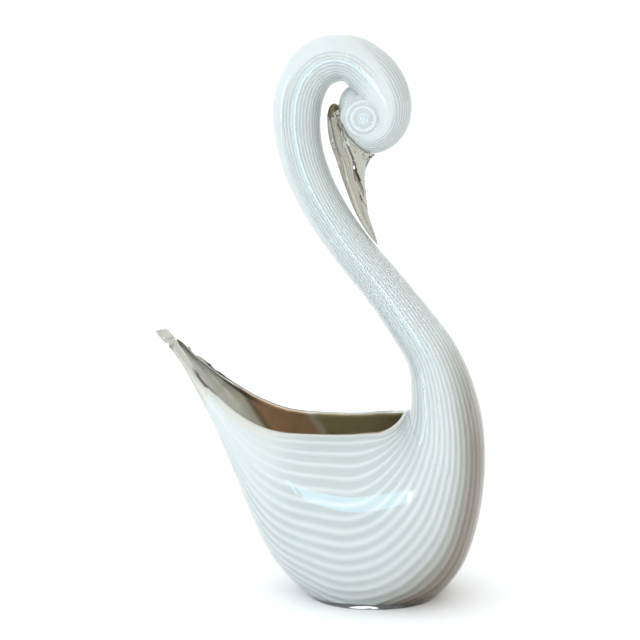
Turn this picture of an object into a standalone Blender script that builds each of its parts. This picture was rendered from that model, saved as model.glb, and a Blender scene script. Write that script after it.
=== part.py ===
# Blown glass swan: a hollow open bowl that runs on into a tail, a neck and a curled head, with a
# clear glass beak put on hot. Two bodies: the swan itself and the beak.
# Lengths are millimetres, turned into metres by MM when the points are made.
# +X points to the breast, -X to the tail, +Z up, and the swan is the same on both sides of y = 0.

import math

import bmesh
import bpy
import numpy as np

MM = 0.001

# The swan's own height. The rows, the head's eye and the mouth's half widths below are in steps,
# 299 to the height, so all of them follow it.
HEIGHT = 299.0
STEP = HEIGHT / 299

# The body as stations from the tail tip to the top of the neck. Each row is one slice:
# (belly x, belly z, back x, back z, half width). The belly line goes under the tail, along the
# bottom, up the breast and the throat. The back line goes along the middle of the mouth, then up
# the nape. The belly goes below the ground where the foot is cut flat.
BODY_ROWS = [
    (-118.0, 141.0, -118.0, 141.0, 0.0),
    (-114.5, 137.0, -114.0, 142.0, 4.4),
    (-105.0, 128.0, -102.5, 131.5, 10.5),
    (-96.5, 115.0, -93.0, 120.5, 16.0),
    (-84.5, 90.5, -76.5, 106.0, 24.0),
    (-74.0, 65.5, -60.0, 96.5, 31.0),
    (-64.0, 40.0, -44.5, 92.5, 36.0),
    (-52.0, 17.0, -30.0, 92.0, 39.0),
    (-33.5, -1.5, -18.0, 92.0, 40.5),
    (-15.5, -13.5, -8.0, 92.5, 41.0),
    (11.0, -13.5, 1.5, 93.5, 41.0),
    (32.5, -1.0, 8.0, 94.0, 40.5),
    (47.5, 16.5, 13.5, 96.0, 39.5),
    (55.0, 36.5, 17.0, 98.5, 37.5),
    (59.0, 60.0, 19.0, 102.0, 35.0),
    (59.5, 82.0, 20.0, 106.5, 31.5),
    (57.0, 102.5, 20.0, 112.0, 27.0),
    (52.0, 119.5, 19.5, 120.0, 21.5),
    (42.5, 139.5, 16.5, 130.5, 16.0),
    (28.0, 158.5, 7.0, 146.0, 13.2),
    (12.5, 177.0, -5.0, 163.0, 11.6),
    (-1.5, 193.0, -18.5, 179.5, 11.2),
    (-13.0, 209.0, -31.0, 196.5, 11.2),
    (-21.0, 223.5, -41.0, 213.0, 11.4),
    (-28.0, 249.5, -52.0, 245.5, 12.0),
    (-26.5, 265.0, -52.0, 269.0, 12.6),
    (-22.0, 273.0, -41.0, 290.0, 12.8),
    (-18.5, 274.5, -29.0, 297.8, 12.8),
    (-15.5, 274.5, -17.5, 299.0, 12.8),
]

# The curled head, seen from its eye. Each row is (angle to the outer line in degrees, its radius,
# angle to the inner line, its radius, half width). The angles run clockwise from the crown.
HEAD_EYE = (-4.3, 256.8)
HEAD_ROWS = [
    (94.0, 41.2, 119.0, 17.0, 12.8),
    (80.0, 36.6, 115.0, 11.0, 12.6),
    (64.0, 32.6, 110.0, 6.0, 12.4),
    (42.0, 28.1, 92.0, 2.4, 12.1),
    (15.0, 24.6, 35.0, 1.4, 11.7),
    (-15.0, 22.4, -15.0, 1.2, 11.3),
    (-45.0, 20.7, -45.0, 1.2, 10.9),
    (-80.0, 19.2, -80.0, 1.2, 10.3),
    (-113.0, 16.0, -113.0, 1.2, 9.6),
    (-146.0, 13.4, -146.0, 1.3, 9.2),
    (-180.0, 13.4, -182.0, 1.7, 8.8),
    (-207.0, 15.3, -224.0, 3.4, 8.0),
    (-226.0, 17.4, -240.0, 9.5, 6.0),
    (-237.0, 17.6, -237.0, 17.6, 0.0),
]

# The mouth of the bowl: rows of the body where it opens and closes, and half its width at stops
# between them, given as (share of the way along the mouth, half width).
MOUTH_FIRST_ROW = 1
MOUTH_LAST_ROW = 14
MOUTH_HALF_WIDTHS = [(0.0, 7.5), (0.05, 9.0), (0.1, 14.0), (0.19, 21.5), (0.28, 25.5), (0.37, 26.0),
                     (0.45, 25.5), (0.58, 25.0), (0.72, 25.0), (0.86, 26.5), (1.0, 28.0)]
# Shares of the mouth's length over which it rounds off at its two ends.
MOUTH_ROUND_TAIL = 0.06
MOUTH_ROUND_NECK = 0.30
MOUTH_NECK_POWER = 0.75
# How softly the slices close towards the neck: see swing().
SOFT_OPEN_TURN = 0.72
SOFT_CLOSE_SHARE = 0.42
SOFT_CLOSE_POWER = 5.0

# A lens of glass at the eye of the curl, where the turns have run together.
CORE_RADIUS = 12.6
CORE_HALF_WIDTH = 8.6
CORE_FLATNESS = 0.6
CORE_RINGS = 6
CORE_COLUMNS = 24

# Glass thickness: of the bowl, of the tail, at their rims and behind the shoulders. The cavity
# starts this far past the mouth's tail end, and ends blind in the breast at CAVITY_STOP_ROW.
WALL = 4.2
TAIL_WALL = 2.2
RIM_WALL = 3.2
TAIL_RIM_WALL = 1.8
NAPE_WALL = 6.0
NAPE_EASE = 16.0
FLOOR_Z = 8.0
FLOOR_EASE = 2.0
CAVITY_START = 6.0
CAVITY_EASE = 7.0
CAVITY_STOP_ROW = 17
CAVITY_MOUTH_BACK = 18.0
FOOT_Z = 0.0

# Shallow flutes that run from the tail to the head; they fade in over FLUTE_FADE at each end.
FLUTES = 40
FLUTE_DEPTH = 0.35
FLUTE_FADE = 22.0

# How finely the skin is divided.
RINGS_BEFORE_MOUTH = 1
RINGS_ALONG_MOUTH = 16
RINGS_UP_NECK = 11
RINGS_IN_CURL = 23
CURL_FIRST_ROW = 22
INSIDE_COLUMNS = 20
RINGS_BLIND_END = 6
LIP_STEPS = 3
LIP_LIFT = 2.0
# How far the rounded lip leans from upright towards the breast, in degrees: (share along, lean).
LIP_LEANS = [(0.0, 47.0), (0.1, 43.0), (0.2, 37.0), (0.3, 26.0), (0.4, 12.0), (0.55, 0.0),
             (0.85, -5.0), (1.0, -45.0)]

# The beak, from its root on the head to its tip: (front x, front z, back x, back z, half width).
BEAK_ROWS = [
    (-22.5, 264.5, -17.5, 262.5, 3.4),
    (-24.3, 258.6, -12.0, 257.5, 6.4),
    (-24.4, 250.8, -5.3, 250.0, 8.0),
    (-22.8, 242.1, -1.7, 240.8, 8.2),
    (-19.9, 234.3, -1.9, 235.4, 7.2),
    (-17.3, 226.0, -4.5, 228.3, 6.0),
    (-14.2, 217.7, -4.5, 220.5, 5.0),
    (-11.1, 209.9, -3.7, 212.7, 4.2),
    (-7.1, 202.1, -2.6, 204.9, 3.4),
    (-3.2, 196.2, -0.3, 198.3, 2.5),
]
BEAK_TIP = (2.3, 189.7)
BEAK_RINGS = 15
BEAK_COLUMNS = 16
BEAK_END_ROUND = 4.0
# The head is grown by this much to hollow the beak's root, which leaves about 0.3 between their
# faceted faces.
FIT_GAP = 0.46
CUTTER_RINGS = 40
CUTTER_COLUMNS = 36


class Track:
    """A smooth curve through rows of numbers, by distance along the swan."""

    def __init__(self, rows):
        self.rows = np.array(rows, float) * STEP
        step = [0.0]
        for a, b in zip(self.rows[:-1], self.rows[1:]):
            low = math.hypot(b[0] - a[0], b[1] - a[1])
            high = math.hypot(b[2] - a[2], b[3] - a[3])
            step.append(step[-1] + max(low, high))
        self.at = np.array(step)
        gap = np.diff(self.at)
        count = len(self.at)
        left = np.eye(count)
        right = np.zeros((count, self.rows.shape[1]))
        for i in range(1, count - 1):
            left[i, i - 1] = gap[i - 1]
            left[i, i] = 2.0 * (gap[i - 1] + gap[i])
            left[i, i + 1] = gap[i]
            rise = (self.rows[i + 1] - self.rows[i]) / gap[i]
            run = (self.rows[i] - self.rows[i - 1]) / gap[i - 1]
            right[i] = 6.0 * (rise - run)
        self.bend = np.linalg.solve(left, right)
        self.length = self.at[-1]

    def row(self, s):
        s = min(max(s, 0.0), self.length)
        i = int(min(max(np.searchsorted(self.at, s) - 1, 0), len(self.at) - 2))
        gap = self.at[i + 1] - self.at[i]
        a = (self.at[i + 1] - s) / gap
        b = (s - self.at[i]) / gap
        curve = (a ** 3 - a) * self.bend[i] + (b ** 3 - b) * self.bend[i + 1]
        return a * self.rows[i] + b * self.rows[i + 1] + curve * gap * gap / 6.0


def polar(angle, radius):
    turn = math.radians(angle)
    return (HEAD_EYE[0] + radius * math.cos(turn), HEAD_EYE[1] + radius * math.sin(turn))


def head_rows():
    rows = []
    for outer_angle, outer, inner_angle, inner, half in HEAD_ROWS:
        rows.append(polar(inner_angle, inner) + polar(outer_angle, outer) + (half,))
    return rows


def ease(x):
    x = min(max(x, 0.0), 1.0)
    return x * x * (3.0 - 2.0 * x)


def between(stops, x):
    return float(np.interp(x, [p[0] for p in stops], [p[1] for p in stops]))


SWAN = Track(BODY_ROWS + head_rows())
MOUTH_FROM = SWAN.at[MOUTH_FIRST_ROW]
MOUTH_TO = SWAN.at[MOUTH_LAST_ROW]
CAVITY_FROM = MOUTH_FROM + CAVITY_START
CAVITY_TO = SWAN.at[CAVITY_STOP_ROW]


def mouth_half(s):
    along = (s - MOUTH_FROM) / (MOUTH_TO - MOUTH_FROM)
    if along <= 0.0 or along >= 1.0:
        return 0.0
    tail = min(along / MOUTH_ROUND_TAIL, 1.0)
    neck = min((1.0 - along) / MOUTH_ROUND_NECK, 1.0)
    rounding = math.sqrt(1.0 - (1.0 - tail) ** 2) * (1.0 - (1.0 - neck) ** 2) ** MOUTH_NECK_POWER
    return between(MOUTH_HALF_WIDTHS, along) * STEP * rounding


def rim_turn(s, half):
    if s <= MOUTH_FROM or s >= MOUTH_TO:
        return math.pi
    return math.pi - math.asin(min(mouth_half(s) / half, 0.995))


def swing(u, s, turn):
    # the slice closes softly for the middle columns, and only the ones by the rim turn in sharply
    along = (s - MOUTH_FROM) / (MOUTH_TO - MOUTH_FROM)
    if along <= 0.5 or along >= 1.0:
        return u * turn
    soft = math.pi - SOFT_OPEN_TURN * ease((1.0 - along) / SOFT_CLOSE_SHARE)
    share = ease((along - 0.5) / 0.2)
    base = turn + (soft - turn) * share
    return u * base + math.copysign(abs(u) ** SOFT_CLOSE_POWER, u) * (turn - base)


def slice_frame(row):
    low = np.array([row[0], 0.0, row[1]])
    high = np.array([row[2], 0.0, row[3]])
    reach = float(np.linalg.norm(high - low))
    if reach < 1e-6:
        return low, np.array([0.0, 0.0, 1.0]), 0.0
    return low, (high - low) / reach, reach


def outside_point(s, u, column):
    row = SWAN.row(s)
    low, up, reach = slice_frame(row)
    half = max(row[4], 0.0)
    turn = rim_turn(s, max(half, 1e-6))
    tall = reach / (1.0 - math.cos(turn))
    v = swing(u, s, turn)
    point = low + up * tall * (1.0 - math.cos(v)) + np.array([0.0, half * math.sin(v), 0.0])
    if column % 2:
        fade = ease(s / FLUTE_FADE) * ease((SWAN.length - s) / FLUTE_FADE)
        inward = low + up * tall - point
        point = point + inward / max(np.linalg.norm(inward), 1e-6) * FLUTE_DEPTH * fade
    return point


def wall_at(s):
    return TAIL_WALL + (WALL - TAIL_WALL) * ease((s - CAVITY_FROM) / (0.35 * (MOUTH_TO - MOUTH_FROM)))


def rim_wall_at(s):
    share = (s - MOUTH_FROM) / (MOUTH_TO - MOUTH_FROM)
    return TAIL_RIM_WALL + (RIM_WALL - TAIL_RIM_WALL) * ease(share / 0.3)


def inside_station(s):
    # the inside slice that meets the mouth slice at s: later at the tail, earlier at the neck
    share = (s - MOUTH_FROM) / (MOUTH_TO - MOUTH_FROM)
    return s + CAVITY_START * (1.0 - ease(share / 0.25)) - CAVITY_MOUTH_BACK * ease((share - 0.5) / 0.5)


def inside_point(t, u, s):
    row = SWAN.row(t)
    low, up, reach = slice_frame(row)
    wall = wall_at(t)
    start = ease((t - CAVITY_FROM) / CAVITY_EASE)
    half = (row[4] - rim_wall_at(s) - (wall - TAIL_WALL) * 0.6) * start
    rim = max(mouth_half(s) - rim_wall_at(s), 0.0) * start
    turn = math.pi - math.asin(min(rim / max(half, 1e-6), 0.995))
    nape = NAPE_WALL * ease((t - MOUTH_TO + NAPE_EASE) / NAPE_EASE)
    tall = reach / (1.0 - math.cos(turn))
    below = tall - wall
    above = tall
    if turn > 0.5 * math.pi + 1e-3:
        above = (reach - tall - nape) / -math.cos(turn)
    v = swing(u, s, turn)
    level = wall + below * (1.0 - math.cos(v))
    if abs(v) > 0.5 * math.pi:
        level = wall + below + above * -math.cos(v)
    level = reach - (reach - level) * start
    point = low + up * level + np.array([0.0, half * math.sin(v), 0.0])
    if t > MOUTH_TO:
        shrink = math.sqrt(max(1.0 - ((t - MOUTH_TO) / (CAVITY_TO - MOUTH_TO)) ** 2, 0.0))
        middle = low + up * (wall + reach - nape) * 0.5
        point = middle + (point - middle) * shrink
    lift = 0.5 * (point[2] - FLOOR_Z)
    point[2] = FLOOR_Z + lift + math.sqrt(lift * lift + FLOOR_EASE ** 2)
    return point


def evenly(first, last, count):
    return [first + (last - first) * i / count for i in range(count + 1)]


class Skin:
    """Collects points and faces; rings that close on themselves share their seam point."""

    def __init__(self):
        self.mesh = bmesh.new()

    def point(self, p):
        return self.mesh.verts.new((p[0] * MM, p[1] * MM, p[2] * MM))

    def face(self, corners):
        kept = []
        for corner in corners:
            if corner not in kept:
                kept.append(corner)
        if len(kept) > 2:
            self.mesh.faces.new(kept)

    def strip(self, one, two):
        for a, b, c, d in zip(one[:-1], one[1:], two[1:], two[:-1]):
            self.face([a, b, c, d])

    def ring(self, points, closed):
        made = [self.point(p) for p in (points[:-1] if closed else points)]
        return made + [made[0]] if closed else made

    def pole(self, p, columns):
        only = self.point(p)
        return [only] * (columns + 1)


def lip_lean(along):
    return math.radians(between(LIP_LEANS, along))


def mouth_stations():
    # closer together at both ends of the mouth, where it rounds off
    stations = []
    for i in range(RINGS_ALONG_MOUTH + 1):
        turn = math.pi * i / RINGS_ALONG_MOUTH
        share = 0.5 * (1.0 - math.cos(turn) * (1.0 - 0.45 * math.sin(turn)))
        stations.append(MOUTH_FROM + (MOUTH_TO - MOUTH_FROM) * share)
    return stations


def outside_ring(skin, s, columns, closed):
    points = [outside_point(s, 2.0 * j / columns - 1.0, j) for j in range(columns + 1)]
    return skin.ring(points, closed)


def inside_ring(skin, t, s, closed):
    points = [inside_point(t, 2.0 * j / INSIDE_COLUMNS - 1.0, s) for j in range(INSIDE_COLUMNS + 1)]
    return skin.ring(points, closed)


def build_swan():
    skin = Skin()
    columns = 2 * FLUTES
    before = evenly(0.0, MOUTH_FROM, RINGS_BEFORE_MOUTH)
    along = mouth_stations()
    curl_from = SWAN.at[CURL_FIRST_ROW]
    after = evenly(MOUTH_TO, curl_from, RINGS_UP_NECK) + evenly(curl_from, SWAN.length, RINGS_IN_CURL)[1:]
    rings = [skin.pole(outside_point(0.0, 0.0, 0), columns)]
    for s in before[1:-1]:
        rings.append(outside_ring(skin, s, columns, True))
    mouth = []
    for i, s in enumerate(along):
        closed = i in (0, RINGS_ALONG_MOUTH)
        ring = outside_ring(skin, s, columns, closed)
        rings.append(ring)
        mouth.append(ring)
    for s in after[1:-1]:
        rings.append(outside_ring(skin, s, columns, True))
    rings.append(skin.pole(outside_point(SWAN.length, 0.0, 0), columns))
    for one, two in zip(rings[:-1], rings[1:]):
        skin.strip(one, two)

    inner = []
    for i, s in enumerate(along):
        t = inside_station(s)
        if i == 0:
            inner.append(skin.pole(inside_point(t, 0.0, s), INSIDE_COLUMNS))
        else:
            inner.append(inside_ring(skin, t, s, i == RINGS_ALONG_MOUTH))
    blind = list(inner)
    closed_from = inside_station(MOUTH_TO)
    for k in range(1, RINGS_BLIND_END):
        t = closed_from + (CAVITY_TO - closed_from) * math.sin(0.5 * math.pi * k / RINGS_BLIND_END)
        blind.append(inside_ring(skin, t, MOUTH_TO, True))
    blind.append(skin.pole(inside_point(CAVITY_TO, 0.0, MOUTH_TO), INSIDE_COLUMNS))
    for one, two in zip(blind[:-1], blind[1:]):
        skin.strip(one, two)

    shared = {}
    for side in (0, -1):
        steps = [[] for _ in range(LIP_STEPS + 2)]
        for i, s in enumerate(along):
            ends = i in (0, RINGS_ALONG_MOUTH)
            p = np.array(mouth[i][side].co) / MM
            q = np.array(inner[i][side].co) / MM
            share = (s - MOUTH_FROM) / (MOUTH_TO - MOUTH_FROM)
            lean = lip_lean(share)
            rise = np.array([math.sin(lean), 0.0, math.cos(lean)])
            across = 0.5 * (q - p)
            size = float(np.linalg.norm(across))
            rise = rise - across * float(rise @ across) / size ** 2
            rise = rise / np.linalg.norm(rise)
            steps[0].append(mouth[i][side])
            for k in range(1, LIP_STEPS + 1):
                over = math.pi * k / (LIP_STEPS + 1)
                lift = min(size, LIP_LIFT, 0.8 * rim_wall_at(s))
                spot = 0.5 * (p + q) - across * math.cos(over) + rise * lift * math.sin(over)
                key = (i, k)
                if ends and key in shared:
                    steps[k].append(shared[key])
                else:
                    made = skin.point(spot)
                    steps[k].append(made)
                    if ends:
                        shared[key] = made
            steps[LIP_STEPS + 1].append(inner[i][side])
        for one, two in zip(steps[:-1], steps[1:]):
            skin.strip(one, two)

    mesh = skin.mesh
    bmesh.ops.recalc_face_normals(mesh, faces=mesh.faces)
    cut = bmesh.ops.bisect_plane(mesh, geom=mesh.verts[:] + mesh.edges[:] + mesh.faces[:],
                                 plane_co=(0.0, 0.0, FOOT_Z * MM), plane_no=(0.0, 0.0, 1.0),
                                 dist=1e-7, clear_inner=True)
    edges = [e for e in cut["geom_cut"] if isinstance(e, bmesh.types.BMEdge)]
    bmesh.ops.contextual_create(mesh, geom=edges)
    bmesh.ops.recalc_face_normals(mesh, faces=mesh.faces)
    return mesh


BEAK = Track(BEAK_ROWS + [BEAK_TIP + BEAK_TIP + (0.0,)])


def beak_point(s, v):
    row = BEAK.row(s)
    low, up, reach = slice_frame(row)
    round_end = math.sqrt(1.0 - (1.0 - min(s / BEAK_END_ROUND, 1.0)) ** 2)
    half = max(row[4], 0.0) * round_end
    middle = low + up * 0.5 * reach
    return middle - up * 0.5 * reach * round_end * math.cos(v) + np.array([0.0, half * math.sin(v), 0.0])


def build_beak():
    skin = Skin()
    rings = [skin.pole(beak_point(0.0, 0.0), BEAK_COLUMNS)]
    for i in range(1, BEAK_RINGS):
        s = BEAK.length * 0.5 * (1.0 - math.cos(math.pi * i / BEAK_RINGS))
        points = [beak_point(s, 2.0 * math.pi * j / BEAK_COLUMNS) for j in range(BEAK_COLUMNS + 1)]
        rings.append(skin.ring(points, True))
    rings.append(skin.pole(beak_point(BEAK.length, 0.0), BEAK_COLUMNS))
    for one, two in zip(rings[:-1], rings[1:]):
        skin.strip(one, two)
    bmesh.ops.recalc_face_normals(skin.mesh, faces=skin.mesh.faces)
    return skin.mesh


def build_head_core():
    skin = Skin()
    rings = []
    for i in range(CORE_RINGS + 1):
        tilt = math.pi * i / CORE_RINGS - 0.5 * math.pi
        points = []
        for j in range(CORE_COLUMNS + 1):
            turn = 2.0 * math.pi * j / CORE_COLUMNS
            radius = CORE_RADIUS * max(math.cos(tilt), 0.0) ** CORE_FLATNESS
            points.append(np.array([HEAD_EYE[0] * STEP + radius * math.cos(turn),
                                    CORE_HALF_WIDTH * math.sin(tilt),
                                    HEAD_EYE[1] * STEP + radius * math.sin(turn)]))
        rings.append(skin.pole(points[0], CORE_COLUMNS) if i in (0, CORE_RINGS) else skin.ring(points, True))
    for one, two in zip(rings[:-1], rings[1:]):
        skin.strip(one, two)
    bmesh.ops.recalc_face_normals(skin.mesh, faces=skin.mesh.faces)
    return skin.mesh


def build_head_cutter():
    # the head grown by the fit gap, used to hollow the root of the beak
    skin = Skin()
    first = SWAN.at[len(BODY_ROWS)]
    rings = []
    for s in evenly(first, SWAN.length, CUTTER_RINGS):
        row = SWAN.row(s)
        low, up, reach = slice_frame(row)
        middle = low + up * 0.5 * reach
        points = []
        for j in range(CUTTER_COLUMNS + 1):
            v = 2.0 * math.pi * j / CUTTER_COLUMNS
            tall = 0.5 * reach + FIT_GAP
            half = max(row[4], 0.0) + FIT_GAP
            points.append(middle - up * tall * math.cos(v) + np.array([0.0, half * math.sin(v), 0.0]))
        rings.append(skin.ring(points, True))
    for one, two in zip(rings[:-1], rings[1:]):
        skin.strip(one, two)
    skin.face(rings[0][:-1])
    skin.face(rings[-1][:-1])
    bmesh.ops.recalc_face_normals(skin.mesh, faces=skin.mesh.faces)
    return skin.mesh


def glass(name, colour, roughness):
    material = bpy.data.materials.new(name)
    material.use_nodes = True
    shader = material.node_tree.nodes["Principled BSDF"]
    shader.inputs["Base Color"].default_value = colour
    shader.inputs["Roughness"].default_value = roughness
    shader.inputs["Metallic"].default_value = 0.0
    return material


def put(name, mesh, material):
    data = bpy.data.meshes.new(name)
    mesh.to_mesh(data)
    mesh.free()
    for face in data.polygons:
        face.use_smooth = True
    data.materials.append(material)
    thing = bpy.data.objects.new(name, data)
    bpy.context.scene.collection.objects.link(thing)
    return thing


def combine(thing, other, operation):
    step = thing.modifiers.new(operation.lower(), "BOOLEAN")
    step.operation = operation
    step.solver = "EXACT"
    step.object = other
    shape = bpy.context.evaluated_depsgraph_get()
    done = bpy.data.meshes.new_from_object(thing.evaluated_get(shape))
    thing.modifiers.clear()
    thing.data = done
    bpy.data.objects.remove(other)


for old in list(bpy.data.objects):
    bpy.data.objects.remove(old)

white_glass = glass("white_cased_glass", (0.70, 0.76, 0.76, 1.0), 0.06)
clear_glass = glass("clear_glass", (0.80, 0.84, 0.82, 1.0), 0.03)
swan = put("swan_body", build_swan(), white_glass)
beak = put("beak", build_beak(), clear_glass)
core = put("head_core", build_head_core(), white_glass)
cutter = put("beak_cutter", build_head_cutter(), clear_glass)
combine(swan, core, "UNION")
combine(beak, cutter, "DIFFERENCE")
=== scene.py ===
import math

import bmesh
import bpy
import numpy as np
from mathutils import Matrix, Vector


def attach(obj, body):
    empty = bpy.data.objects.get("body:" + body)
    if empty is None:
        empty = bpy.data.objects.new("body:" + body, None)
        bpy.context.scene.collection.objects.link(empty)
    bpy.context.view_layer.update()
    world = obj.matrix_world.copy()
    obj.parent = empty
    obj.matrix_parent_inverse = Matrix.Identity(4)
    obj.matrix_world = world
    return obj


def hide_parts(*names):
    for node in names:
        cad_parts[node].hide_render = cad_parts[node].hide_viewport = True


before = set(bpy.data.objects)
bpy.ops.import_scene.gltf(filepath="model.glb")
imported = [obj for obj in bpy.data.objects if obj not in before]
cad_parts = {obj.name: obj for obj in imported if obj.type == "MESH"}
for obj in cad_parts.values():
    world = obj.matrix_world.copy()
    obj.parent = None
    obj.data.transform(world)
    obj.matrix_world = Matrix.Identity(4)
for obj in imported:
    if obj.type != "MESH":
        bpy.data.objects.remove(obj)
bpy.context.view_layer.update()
scene = bpy.context.scene
mm = 0.001

# the swan's shape, in millimetres, as in the solid model

bodyRows = [  # belly x, belly z, back x, back z, half width, from the tail tip to the crown
    (-118.0, 141.0, -118.0, 141.0, 0.0), (-114.5, 137.0, -114.0, 142.0, 4.4),
    (-105.0, 128.0, -102.5, 131.5, 10.5), (-96.5, 115.0, -93.0, 120.5, 16.0),
    (-84.5, 90.5, -76.5, 106.0, 24.0), (-74.0, 65.5, -60.0, 96.5, 31.0),
    (-64.0, 40.0, -44.5, 92.5, 36.0), (-52.0, 17.0, -30.0, 92.0, 39.0),
    (-33.5, -1.5, -18.0, 92.0, 40.5), (-15.5, -13.5, -8.0, 92.5, 41.0),
    (11.0, -13.5, 1.5, 93.5, 41.0), (32.5, -1.0, 8.0, 94.0, 40.5),
    (47.5, 16.5, 13.5, 96.0, 39.5), (55.0, 36.5, 17.0, 98.5, 37.5),
    (59.0, 60.0, 19.0, 102.0, 35.0), (59.5, 82.0, 20.0, 106.5, 31.5),
    (57.0, 102.5, 20.0, 112.0, 27.0), (52.0, 119.5, 19.5, 120.0, 21.5),
    (42.5, 139.5, 16.5, 130.5, 16.0), (28.0, 158.5, 7.0, 146.0, 13.2),
    (12.5, 177.0, -5.0, 163.0, 11.6), (-1.5, 193.0, -18.5, 179.5, 11.2),
    (-13.0, 209.0, -31.0, 196.5, 11.2), (-21.0, 223.5, -41.0, 213.0, 11.4),
    (-28.0, 249.5, -52.0, 245.5, 12.0), (-26.5, 265.0, -52.0, 269.0, 12.6),
    (-22.0, 273.0, -41.0, 290.0, 12.8), (-18.5, 274.5, -29.0, 297.8, 12.8),
    (-15.5, 274.5, -17.5, 299.0, 12.8)]
headEye = (-4.3, 256.8)
headRows = [  # angle and radius of the outer line, angle and radius of the inner line, half width
    (94.0, 41.2, 119.0, 17.0, 12.8), (80.0, 36.6, 115.0, 11.0, 12.6), (64.0, 32.6, 110.0, 6.0, 12.4),
    (42.0, 28.1, 92.0, 2.4, 12.1), (15.0, 24.6, 35.0, 1.4, 11.7), (-15.0, 22.4, -15.0, 1.2, 11.3),
    (-45.0, 20.7, -45.0, 1.2, 10.9), (-80.0, 19.2, -80.0, 1.2, 10.3), (-113.0, 16.0, -113.0, 1.2, 9.6),
    (-146.0, 13.4, -146.0, 1.3, 9.2), (-180.0, 13.4, -182.0, 1.7, 8.8), (-207.0, 15.3, -224.0, 3.4, 8.0),
    (-226.0, 17.4, -240.0, 9.5, 6.0), (-237.0, 17.6, -237.0, 17.6, 0.0)]
mouth = {
    "firstRow": 1, "lastRow": 14,
    "halfWidths": [(0.0, 7.5), (0.05, 9.0), (0.1, 14.0), (0.19, 21.5), (0.28, 25.5), (0.37, 26.0),
                   (0.45, 25.5), (0.58, 25.0), (0.72, 25.0), (0.86, 26.5), (1.0, 28.0)],
    "roundTail": 0.06, "roundNeck": 0.30, "neckPower": 0.75,
    "softFrom": 0.5, "softEase": 0.2, "softOpenTurn": 0.72, "softCloseShare": 0.42, "softClosePower": 5.0,
    "lipLeans": [(0.0, 47.0), (0.1, 43.0), (0.2, 37.0), (0.3, 26.0), (0.4, 12.0), (0.55, 0.0),
                 (0.85, -5.0), (1.0, -45.0)],
    "endCrowd": 0.3,  # how much closer together the slices are at both ends
    # a lip is at most this share of the wall tall, and a layer's lip rises over this way
    "lipTall": 0.8, "lipRise": 12.0,
}
glassWall = {
    "bowl": 4.2, "tail": 2.2, "rim": 3.2, "tailRim": 1.8, "nape": 6.0,
    "floorZ": 8.0, "floorEase": 2.0, "cavityStart": 6.0, "cavityStopRow": 17, "mouthBack": 18.0,
    "lateUntil": 0.25, "backFrom": 0.5,  # shares of the mouth
    # over how long a way each thickness is reached, the first two as shares of the mouth
    "bowlEase": 0.35, "rimEase": 0.3, "startEase": 7.0, "napeEase": 16.0,
    # a layer inside the wall: how much of the wall its sides take, and how much lower and further it lies
    "sideShare": 0.6, "floorDrop": 6.0, "blindGrow": 5.0,
}
insetMost = {"reach": 0.42, "half": 0.62}  # as shares of a slice
widestMouth = 0.995  # as a share of the half width


class Track:
    # a smooth curve through rows of numbers, by distance along the swan
    def __init__(self, rows):
        self.rows = np.array(rows, float)
        step = [0.0]
        for a, b in zip(self.rows[:-1], self.rows[1:]):
            low = math.hypot(b[0] - a[0], b[1] - a[1])
            high = math.hypot(b[2] - a[2], b[3] - a[3])
            step.append(step[-1] + max(low, high))
        self.at = np.array(step)
        gap = np.diff(self.at)
        count = len(self.at)
        left = np.eye(count)
        right = np.zeros((count, self.rows.shape[1]))
        for i in range(1, count - 1):
            left[i, i - 1] = gap[i - 1]
            left[i, i] = 2.0 * (gap[i - 1] + gap[i])
            left[i, i + 1] = gap[i]
            rise = (self.rows[i + 1] - self.rows[i]) / gap[i]
            run = (self.rows[i] - self.rows[i - 1]) / gap[i - 1]
            right[i] = 6.0 * (rise - run)
        self.bend = np.linalg.solve(left, right)
        self.length = self.at[-1]

    def row(self, s):
        s = min(max(s, 0.0), self.length)
        i = int(min(max(np.searchsorted(self.at, s) - 1, 0), len(self.at) - 2))
        gap = self.at[i + 1] - self.at[i]
        a = (self.at[i + 1] - s) / gap
        b = (s - self.at[i]) / gap
        curve = (a ** 3 - a) * self.bend[i] + (b ** 3 - b) * self.bend[i + 1]
        return a * self.rows[i] + b * self.rows[i + 1] + curve * gap * gap / 6.0

    def stationOf(self, column, value):
        # the first distance at which that number of the row passes the value
        for s in np.linspace(0.0, self.length, 2000):
            if self.row(s)[column] >= value:
                return s
        return self.length


def polar(angle, radius):
    turn = math.radians(angle)
    return (headEye[0] + radius * math.cos(turn), headEye[1] + radius * math.sin(turn))


def ease(x):
    x = min(max(x, 0.0), 1.0)
    return x * x * (3.0 - 2.0 * x)


def easeAll(x):
    x = np.clip(x, 0.0, 1.0)
    return x * x * (3.0 - 2.0 * x)


def climb(x, stretch):
    # 0 up to the first number, then rising to 1 over a way as long as the second
    return easeAll((x - stretch[0]) / stretch[1])


def between(stops, x):
    return float(np.interp(x, [p[0] for p in stops], [p[1] for p in stops]))


swan = Track(bodyRows + [polar(r[2], r[3]) + polar(r[0], r[1]) + (r[4],) for r in headRows])
mouthFrom = swan.at[mouth["firstRow"]]
mouthTo = swan.at[mouth["lastRow"]]
mouthLong = mouthTo - mouthFrom
cavityFrom = mouthFrom + glassWall["cavityStart"]
cavityTo = swan.at[glassWall["cavityStopRow"]]


def mouthHalf(s):
    along = (s - mouthFrom) / mouthLong
    if along <= 0.0 or along >= 1.0:
        return 0.0
    tail = min(along / mouth["roundTail"], 1.0)
    neck = min((1.0 - along) / mouth["roundNeck"], 1.0)
    rounding = math.sqrt(1.0 - (1.0 - tail) ** 2) * (1.0 - (1.0 - neck) ** 2) ** mouth["neckPower"]
    return between(mouth["halfWidths"], along) * rounding


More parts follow.
